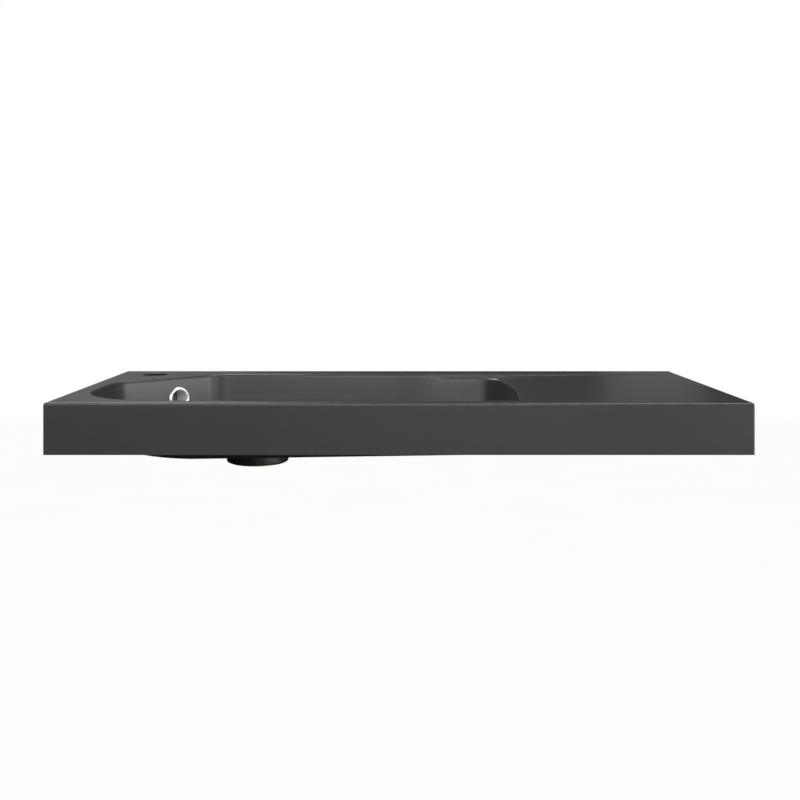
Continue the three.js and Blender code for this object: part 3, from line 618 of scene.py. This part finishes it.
def worm_clip(name, place):
    """A band with its worm housing and screw, round its own Z."""
    band = turned(name, ring_section(9.8 * MM, 8.8 * MM, -3.5 * MM, 3.5 * MM), steps=96, edge=0.25 * MM)
    housing = block((0, 11.25 * MM, 0), (5 * MM, 3.9 * MM, 7 * MM))
    apply_modifier(housing, "BEVEL", width=0.6 * MM, segments=3)
    cut(band, housing, "UNION")
    across = Matrix.Translation((0, 11.4 * MM, 0)) @ Matrix.Rotation(math.pi / 2, 4, "Y")
    section = [(0, -3.4 * MM), (1.3 * MM, -3.4 * MM), (1.3 * MM, 2.4 * MM), (2.1 * MM, 2.4 * MM),
               (2.1 * MM, 4 * MM), (0, 4 * MM)]
    screw = turned("screw", section, across, steps=32, edge=0.15 * MM)
    cut(band, screw, "UNION")
    for z in (-2.2 * MM, 2.2 * MM):
        cut(band, hole(0.65 * MM, -1.2 * MM, 1.2 * MM, Matrix.Translation((-4 * MM, 9.2 * MM, z))))
    band.name = name
    band.data.transform(place)
    return smooth(band)


# %% The drain nipple
def drain_nipple():
    section = [(4.5 * MM, 33.3 * MM), (5.6 * MM, 33.3 * MM), (5.6 * MM, 42 * MM), (8.3 * MM, 42 * MM),
               (8.3 * MM, 47 * MM), (6.1 * MM, 47 * MM), *reversed(barbs(65, 5)), (4.5 * MM, 65 * MM)]
    piece = turned("brass_nipple", section, steps=64)
    bpy.ops.object.select_all(action="DESELECT")
    bpy.ops.mesh.primitive_cylinder_add(vertices=6, radius=8.5 * MM, depth=5 * MM, location=(0, 0, 44.5 * MM))
    collar = bpy.context.object
    bpy.ops.object.transform_apply(location=True, rotation=True, scale=True)
    cut(collar, hole(8 * MM, 40 * MM, 50 * MM, Matrix.Identity(4)))
    cut(piece, collar, "UNION")
    piece.data.transform(at_nipple)
    return smooth(piece)


# %% [markdown]
# ## The waste
# From above only the flange's lip and the plug's cap show. From below one sees the tail with its thread,
# the backnut's ring with its spanner notches, and in the tail's middle the hub that carries the plug's
# cartridge.

# %% Heights of the waste
flange_z = seat_z + 2 * GAP + 1.5 * MM
plug_seat_z = flange_z + 1.8 * MM
cap_z = plug_seat_z + 2 * GAP + 1.4 * MM
tail_z = boss_z - 2 * MM
nut_top = rebate_z - 2 * GAP - 2 * MM
cartridge_top = cap_z - 4.5 * MM
hub_top = cartridge_top - 3.6 * MM - GAP
hub_low = hub_top - 4 * MM
at_waste = at_drain


def waste_flange():
    lip_top = plug_seat_z + 2.6 * MM
    grooves = []
    for k in range(11):
        z = tail_z + (0.8 + 1.5 * k) * MM
        grooves += [(20.9 * MM, z), (20.35 * MM, z + 0.6 * MM), (20.9 * MM, z + 1.2 * MM)]
    inner = []
    for k in range(5):
        z = tail_z + (0.8 + 1.2 * k) * MM
        inner += [(17.7 * MM, z), (18.2 * MM, z + 0.5 * MM), (17.7 * MM, z + MM)]
    lip = arc((32.0 * MM, lip_top - MM), MM, 0, 90, 6)
    lip += arc((30.6 * MM, lip_top - 1.2 * MM), 1.2 * MM, 90, 180, 6)
    section = [(18.3 * MM, tail_z), (20.5 * MM, tail_z), *grooves, (20.9 * MM, flange_z), (33 * MM, flange_z),
               *lip, (29.4 * MM, plug_seat_z + 0.5 * MM), (28.9 * MM, plug_seat_z), (18.7 * MM, plug_seat_z),
               (17.7 * MM, plug_seat_z - MM), *reversed(inner)]
    piece = turned("waste_body", section, steps=144)
    hub = turned("hub", ring_section(11.5 * MM, 8.8 * MM, hub_low, hub_top), steps=72, edge=0.4 * MM)
    for k in range(3):
        arm = block((14.5 * MM, 0, (hub_low + hub_top) / 2), (8 * MM, 3 * MM, 4 * MM))
        apply_modifier(arm, "BEVEL", width=0.5 * MM, segments=3)
        arm.data.transform(Matrix.Rotation(2 * math.pi * k / 3, 4, "Z"))
        cut(hub, arm, "UNION")
    cut(piece, hub, "UNION")
    for k in range(3):
        slot = block((19.3 * MM, 0, chamber_top_z - 2.5 * MM), (9 * MM, 11 * MM, 5 * MM))
        pick_in_edit(slot, "EDGE", lambda e: abs(e.verts[0].co.x - e.verts[1].co.x) > MM)
        bpy.ops.mesh.bevel(offset=2 * MM, segments=5, affect="EDGES")
        leave_edit()
        slot.data.transform(Matrix.Rotation(2 * math.pi * (k + 0.5) / 3, 4, "Z"))
        cut(piece, slot)
    piece.data.transform(at_waste)
    return smooth(piece)


def backnut():
    bottom = nut_top - 3 * MM
    section = [(21.2 * MM, bottom), (35.6 * MM, bottom), (35.6 * MM, nut_top), (27.2 * MM, nut_top),
               (27.2 * MM, nut_top + 6 * MM), (21.2 * MM, nut_top + 6 * MM)]
    piece = turned("backnut", section, steps=120, edge=0.35 * MM)
    for k in range(6):
        place = Matrix.Rotation(math.pi * (k + 0.5) / 3, 4, "Z") @ Matrix.Translation((29 * MM, 0, 0))
        cut(piece, hole(2.2 * MM, bottom - MM, bottom + 1.6 * MM, place))
    piece.data.transform(at_waste)
    return smooth(piece)


# %% [markdown]
# ## The plug
# A chromed cap with a soft dome sits on a brass stem, which slides in a white cartridge over a coiled
# spring. The coil is a small circle swept by a screw modifier: one turn per repeat, each lifted by the
# coil's pitch.

# %% Cap, stem, cartridge, spring
def plug_cap():
    radius, thick = 28.5 * MM, 1.7 * MM
    crown_z = cap_z + thick + MM
    sphere = (radius * radius + (0.9 * MM) ** 2) / (2 * 0.9 * MM)
    dome = [(r, crown_z - sphere + math.sqrt(sphere * sphere - r * r))
            for r in np.linspace(radius - 0.9 * MM, 0, 16)]
    edge = arc((radius - 0.8 * MM, cap_z + thick - 0.75 * MM), 0.8 * MM, 0, 80, 6)
    return turned("cap", [(0, cap_z), (radius - 0.3 * MM, cap_z), (radius, cap_z + 0.3 * MM), *edge, *dome],
                  at_waste, steps=144)


def plug_stem():
    low = cartridge_top - 11 * MM
    section = [(0, low), (6.0 * MM, low), (6.5 * MM, low + 0.5 * MM), (6.5 * MM, cartridge_top - 0.4 * MM),
               (6.1 * MM, cartridge_top), (3.5 * MM, cartridge_top), (3.5 * MM, cap_z - GAP),
               (0, cap_z - GAP)]
    return turned("stem", section, at_waste, steps=64)


def push_cartridge():
    low = cartridge_top - 20.5 * MM
    section = [(0, low), (8.5 * MM, low), (8.5 * MM, hub_top + GAP), (10.5 * MM, hub_top + GAP),
               (10.5 * MM, cartridge_top), (6.6 * MM, cartridge_top), (6.6 * MM, low + 2.2 * MM),
               (0, low + 2.2 * MM)]
    piece = turned("cartridge", section, steps=72, edge=0.35 * MM)
    for k in range(12):
        place = Matrix.Rotation(math.pi * k / 6, 4, "Z") @ Matrix.Translation((10.9 * MM, 0, 0))
        cut(piece, hole(0.9 * MM, hub_top + 0.8 * MM, cartridge_top + MM, place))
    piece.data.transform(at_waste)
    return smooth(piece)


def spring():
    wire, turns = 1.2 * MM, 4
    low, high = cartridge_top - 20.5 * MM + 2.2 * MM + GAP, cartridge_top - 11 * MM - GAP
    bpy.ops.object.select_all(action="DESELECT")
    bpy.ops.mesh.primitive_circle_add(vertices=16, radius=wire / 2, rotation=(math.pi / 2, 0, 0),
                                      location=(5.6 * MM, 0, low + wire / 2))
    piece = bpy.context.object
    piece.name = "coil"
    bpy.ops.object.transform_apply(location=True, rotation=True, scale=True)
    apply_modifier(piece, "SCREW", axis="Z", angle=2 * math.pi, steps=48, render_steps=48, iterations=turns,
                   screw_offset=(high - low - wire) / turns, use_merge_vertices=False)
    pick(piece)
    bpy.ops.object.mode_set(mode="EDIT")
    bpy.ops.mesh.select_all(action="SELECT")
    bpy.ops.mesh.fill_holes(sides=0)
    leave_edit()
    outward(piece)
    piece.data.transform(at_waste)
    return smooth(piece, 60)


def sleeve(name, x):
    section = [(5.5 * MM, GAP), (8 * MM, GAP), (8 * MM, 14.3 * MM), (14 * MM, 14.3 * MM),
               (14 * MM, 17.3 * MM), (5.5 * MM, 17.3 * MM)]
    return turned(name, section, at_fixing(x), steps=72, edge=0.4 * MM)


# %% [markdown]
# ## Finishes
# The shader's arithmetic reads like arithmetic: a small class wraps a socket, and adding or multiplying
# two of them puts the maths node in. Every other node comes from one method that takes its type, settings
# and inputs.

# %% Shader helpers
class Value:
    """A socket of a shader's node tree, or what arithmetic makes of some."""

    def __init__(self, tree, socket):
        self.tree = tree
        self.socket = socket

    def combined(self, operation, first, second):
        node = self.tree.nodes.new("ShaderNodeMath")
        node.operation = operation
        for slot, value in zip(node.inputs, (first, second)):
            plug_in(self.tree, slot, value)
        return Value(self.tree, node.outputs[0])

    def __add__(self, other):
        return self.combined("ADD", self, other)

    def __radd__(self, other):
        return self.combined("ADD", other, self)

    def __sub__(self, other):
        return self.combined("SUBTRACT", self, other)

    def __rsub__(self, other):
        return self.combined("SUBTRACT", other, self)

    def __mul__(self, other):
        return self.combined("MULTIPLY", self, other)

    def __rmul__(self, other):
        return self.combined("MULTIPLY", other, self)

    def __pow__(self, other):
        return self.combined("POWER", self, other)


def plug_in(tree, slot, value):
    if isinstance(value, Value):
        tree.links.new(value.socket, slot)
    else:
        slot.default_value = value


class Finish:
    """A material with its Principled shader, and the method that adds nodes to it."""

    def __init__(self, name):
        self.material = bpy.data.materials.new(name)
        self.material.use_nodes = True
        self.tree = self.material.node_tree
        self.shader = self.tree.nodes["Principled BSDF"]
        self.place = self.node("TexCoord", {}, {}, "Object")

    def node(self, kind, settings, inputs, output=0):
        node = self.tree.nodes.new("ShaderNode" + kind)
        for name, value in settings.items():
            setattr(node, name, value)
        for name, value in inputs.items():
            plug_in(self.tree, node.inputs[name], value)
        return Value(self.tree, node.outputs[output])

    def noise(self, size, detail=2.0, place=None):
        """Noise from 0 to 1 whose grains are about this size in metres."""
        inputs = {"Vector": place or self.place, "Scale": 1 / size, "Detail": detail, "Roughness": 0.5}
        return self.node("TexNoise", {}, inputs)

    def between(self, share, low, high, first=None):
        """A colour between two, by a share from 0 to 1."""
        inputs = {"Factor": share, "A": first or (*low, 1), "B": (*high, 1)}
        mix = self.tree.nodes.new("ShaderNodeMix")
        mix.data_type = "RGBA"
        mix.clamp_factor = True
        for name, value in inputs.items():
            matching = [s for s in mix.inputs if s.name == name and s.enabled]
            plug_in(self.tree, matching[0], value)
        return Value(self.tree, next(s for s in mix.outputs if s.enabled))

    def bump(self, height, distance, strength=1.0):
        return self.node("Bump", {}, {"Height": height, "Distance": distance, "Strength": strength})

    def set(self, **inputs):
        for name, value in inputs.items():
            plug_in(self.tree, self.shader.inputs[name.replace("_", " ")], value)
        return self.material


# %% Cast stone
def cast_stone():
    finish = Finish("cast stone")
    grain = finish.noise(0.9 * MM, 3)
    speck = finish.noise(1.7 * MM, 1)
    mottle = finish.noise(60 * MM, 2)
    tone = grain * 0.5 + speck * 0.35 + mottle * 0.15
    coat = finish.between(tone * 3.2 - 1.1, (0.040, 0.040, 0.041), (0.050, 0.050, 0.0495))
    x, y = (finish.node("SeparateXYZ", {}, {"Vector": finish.place}, axis) for axis in ("X", "Y"))
    from_tap = ((x - tap.x) ** 2.0 + (y - tap.y) ** 2.0) ** 0.5
    # Painted shade: the tap hole's wall is painted near black, as the shade inside the hole, and made
    # rougher.
    tap_hole_shade = from_tap.combined("LESS_THAN", from_tap, TAP_HOLE_RADIUS + 0.06 * MM)
    return finish.set(Base_Color=finish.between(tap_hole_shade, None, (0.008, 0.008, 0.008), first=coat),
                      Roughness=0.31 + grain * 0.06 + tap_hole_shade * 0.5,
                      Specular_IOR_Level=0.42,
                      Normal=finish.bump(grain + speck * 0.6, 0.03 * MM, 0.25))


# %% Metals
def chrome():
    """Only partly metallic: a full mirror would show nothing but the dark room and look black."""
    finish = Finish("chrome")
    haze = finish.noise(7 * MM, 4)
    colour = finish.between(haze, (0.93, 0.93, 0.94), (0.97, 0.97, 0.97))
    return finish.set(Base_Color=colour, Metallic=0.6, Roughness=0.16 + haze * 0.06,
                      Normal=finish.bump(finish.noise(12 * MM, 1), 0.02 * MM, 0.4))


def brass():
    finish = Finish("brass")
    tarnish = finish.noise(5 * MM, 4)
    turning = finish.noise(0.4 * MM, 2)
    colour = finish.between(tarnish * 1.6 - 0.3, (0.60, 0.43, 0.19), (0.74, 0.57, 0.29))
    return finish.set(Base_Color=colour, Metallic=1.0, Roughness=0.24 + tarnish * 0.16,
                      Normal=finish.bump(turning, 0.01 * MM, 0.6))


def steel():
    finish = Finish("stainless steel")
    brushed = finish.noise(0.5 * MM, 3)
    colour = finish.between(brushed, (0.50, 0.51, 0.52), (0.62, 0.62, 0.63))
    return finish.set(Base_Color=colour, Metallic=1.0, Roughness=0.2 + brushed * 0.15,
                      Normal=finish.bump(brushed, 0.01 * MM, 0.4))


# %% Rubber and plastics
def soft(name, dark, light, roughness, grain_size):
    finish = Finish(name)
    grain = finish.noise(grain_size, 3)
    cloud = finish.noise(14 * MM, 2)
    colour = finish.between(grain * 0.5 + cloud * 0.5, dark, light)
    return finish.set(Base_Color=colour, Roughness=roughness + grain * 0.12,
                      Normal=finish.bump(grain, 0.02 * MM, 0.5))


FINISHES = {
    "cast_stone": cast_stone(),
    "chrome": chrome(),
    "brass": brass(),
    "steel": steel(),
    "rubber": soft("rubber", (0.014, 0.014, 0.015), (0.028, 0.027, 0.026), 0.62, 0.6 * MM),
    "grey_plastic": soft("grey plastic", (0.24, 0.25, 0.26), (0.33, 0.34, 0.35), 0.38, 0.8 * MM),
    "white_plastic": soft("white plastic", (0.72, 0.72, 0.69), (0.83, 0.83, 0.81), 0.3, 0.8 * MM),
}
print("finishes:", ", ".join(FINISHES))


# %% [markdown]
# ## Join each finished piece to the frame
# Each piece takes the place of its CAD node, rides on the body that the node belongs to and names the
# record's slot that its finish comes from. The coil is the one piece between two bodies, and it rides on
# neither.

# %% Place the pieces
def settle(piece, node, slot, body="basin"):
    piece.data.materials.clear()
    piece.data.materials.append(FINISHES[slot])
    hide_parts(node)
    if body:
        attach(piece, body)
    return piece


def flat_ring(name, outer, bore, low, height, place, edge=0.2 * MM):
    return turned(name, ring_section(outer * MM, bore * MM, low, low + height), place, steps=96, edge=edge)


settle(casting_piece, "basin_body", "cast_stone")
settle(overflow_ring(), "overflow_ring", "chrome")
settle(flat_ring("ring_seal", 15.5, 14.1, GAP, MM, at_overflow), "overflow_ring_seal", "rubber")
elbow_washer = flat_ring("elbow_washer", 17.5, 14.1, gasket_front - 1.7 * MM, 1.7 * MM, at_overflow)
settle(elbow_washer, "elbow_gasket", "rubber")
settle(overflow_elbow(), "overflow_elbow", "grey_plastic")
settle(hose(), "overflow_hose", "grey_plastic")
on_spigot = Matrix.Translation((0, -26.5 * MM, spigot_z))
upper_place = at_overflow @ on_spigot @ Matrix.Rotation(math.pi / 2, 4, "X")
settle(worm_clip("upper_clip", upper_place), "hose_clip_upper", "steel")
lower_place = at_nipple @ Matrix.Translation((0, 0, 58.5 * MM)) @ Matrix.Rotation(math.pi / 2, 4, "Z")
settle(worm_clip("lower_clip", lower_place), "hose_clip_lower", "steel")
settle(drain_nipple(), "drain_nipple", "brass")
settle(flat_ring("nipple_washer", 8.5, 5.9, 40.3 * MM, 1.4 * MM, at_nipple), "nipple_seal", "rubber")
settle(waste_flange(), "waste_flange", "chrome")
settle(flat_ring("flange_washer", 31.5, 23, seat_z + GAP, 1.5 * MM, at_waste), "flange_seal", "rubber")
chamber_washer = flat_ring("chamber_washer", 35.6, 27.5, rebate_z - GAP - 2 * MM, 2 * MM, at_waste)
settle(chamber_washer, "chamber_gasket", "rubber")
settle(backnut(), "chamber_backnut", "brass")
settle(push_cartridge(), "push_cartridge", "white_plastic")
coil = settle(spring(), "cartridge_spring", "steel", body=None)
coil_top = cartridge_top - 11 * MM - GAP
cartridge_top - 18 * MM
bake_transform(coil)
settle(plug_stem(), "plug_stem", "brass", "plug")
settle(plug_cap(), "plug_cap", "chrome", "plug")
plug_washer = flat_ring("plug_washer", 26.5, 22.5, plug_seat_z + GAP, 1.4 * MM, at_waste)
settle(plug_washer, "plug_seal", "rubber", "plug")
settle(sleeve("left_sleeve", -FIXING_X), "fixing_sleeve_left", "white_plastic")
settle(sleeve("right_sleeve", FIXING_X), "fixing_sleeve_right", "white_plastic")

# %% [markdown]
# ## The studio
# Dark matt stone shows its shape by what it reflects, so the room itself is kept dark and a few soft
# square lamps stand round the basin: broad ones in front for the apron and the rims, low ones at the
# right that the splayed wall mirrors, and high ones behind and at the right for the deck. Three weak ones
# are added: two low behind, which the deck and the shelf mirror, and one below in front. Only the camera
# sees the pale backdrop and the pale floor.

# %% Floor and backdrop
bpy.ops.object.select_all(action="DESELECT")
bpy.ops.mesh.primitive_plane_add(size=12, location=(0, 0, -0.85))
floor = bpy.context.object
floor.name = "studio_floor"
floor_finish = Finish("pale floor")
paper = floor_finish.between(floor_finish.noise(0.4, 3), (0.965, 0.965, 0.965), (0.985, 0.985, 0.985))
floor_finish.shader.inputs["Emission Strength"].default_value = 1.0
floor_finish.shader.inputs["Specular IOR Level"].default_value = 0.0
floor_finish.set(Base_Color=(0.02, 0.02, 0.02, 1), Emission_Color=paper, Roughness=0.9)
floor.data.materials.append(floor_finish.material)
floor.visible_diffuse = floor.visible_glossy = floor.visible_transmission = False

world = bpy.data.worlds.new("studio")
bpy.context.scene.world = world
world.use_nodes = True
backdrop = world.node_tree.nodes["Background"]
backdrop.inputs["Color"].default_value = (1, 1, 1, 1)
paths = world.node_tree.nodes.new("ShaderNodeLightPath")
seen = Value(world.node_tree, paths.outputs["Is Camera Ray"])
plug_in(world.node_tree, backdrop.inputs["Strength"], seen * 0.98 + 0.02)


# %% Lamps
LAMP_DISTANCE = 2.4


def lamp(azimuth, elevation, watts, size=0.9):
    """A soft square lamp. Azimuth 0 is in front of the basin and 90 at its right, in degrees."""
    around, above = math.radians(azimuth), math.radians(elevation)
    centre = Vector((0, (body_low.y + body_high.y) / 2, 0))
    away = Vector((math.sin(around) * math.cos(above), -math.cos(around) * math.cos(above), math.sin(above)))
    light = bpy.data.lights.new("lamp", "AREA")
    light.size = size
    light.energy = watts
    stand = bpy.data.objects.new("lamp", light)
    bpy.context.collection.objects.link(stand)
    stand.location = centre + away * LAMP_DISTANCE
    stand.rotation_euler = (-away).to_track_quat("-Z", "Y").to_euler()


lamp(0, 22, 24)
lamp(-30, 22, 13)
lamp(45, 3, 13.5)
lamp(75, 4, 28)
lamp(-150, 50, 28.6)
lamp(90, 70, 23.7)
lamp(159, 5, 0.16, size=0.32)
lamp(203, 9, 0.45)
lamp(10, -13, 1.2)

# %% The camera
camera = bpy.data.cameras.new("camera")
camera.lens = 49.83
camera.sensor_width = 36
camera.shift_x = 0.0056
camera.shift_y = -0.1636
camera_stand = bpy.data.objects.new("camera", camera)
bpy.context.collection.objects.link(camera_stand)
camera_stand.location = (-0.004, -1.6743, 0.184)
camera_stand.rotation_euler = (math.pi / 2, 0, 0)
bpy.context.scene.camera = camera_stand
bpy.context.scene.view_settings.view_transform = "Standard"
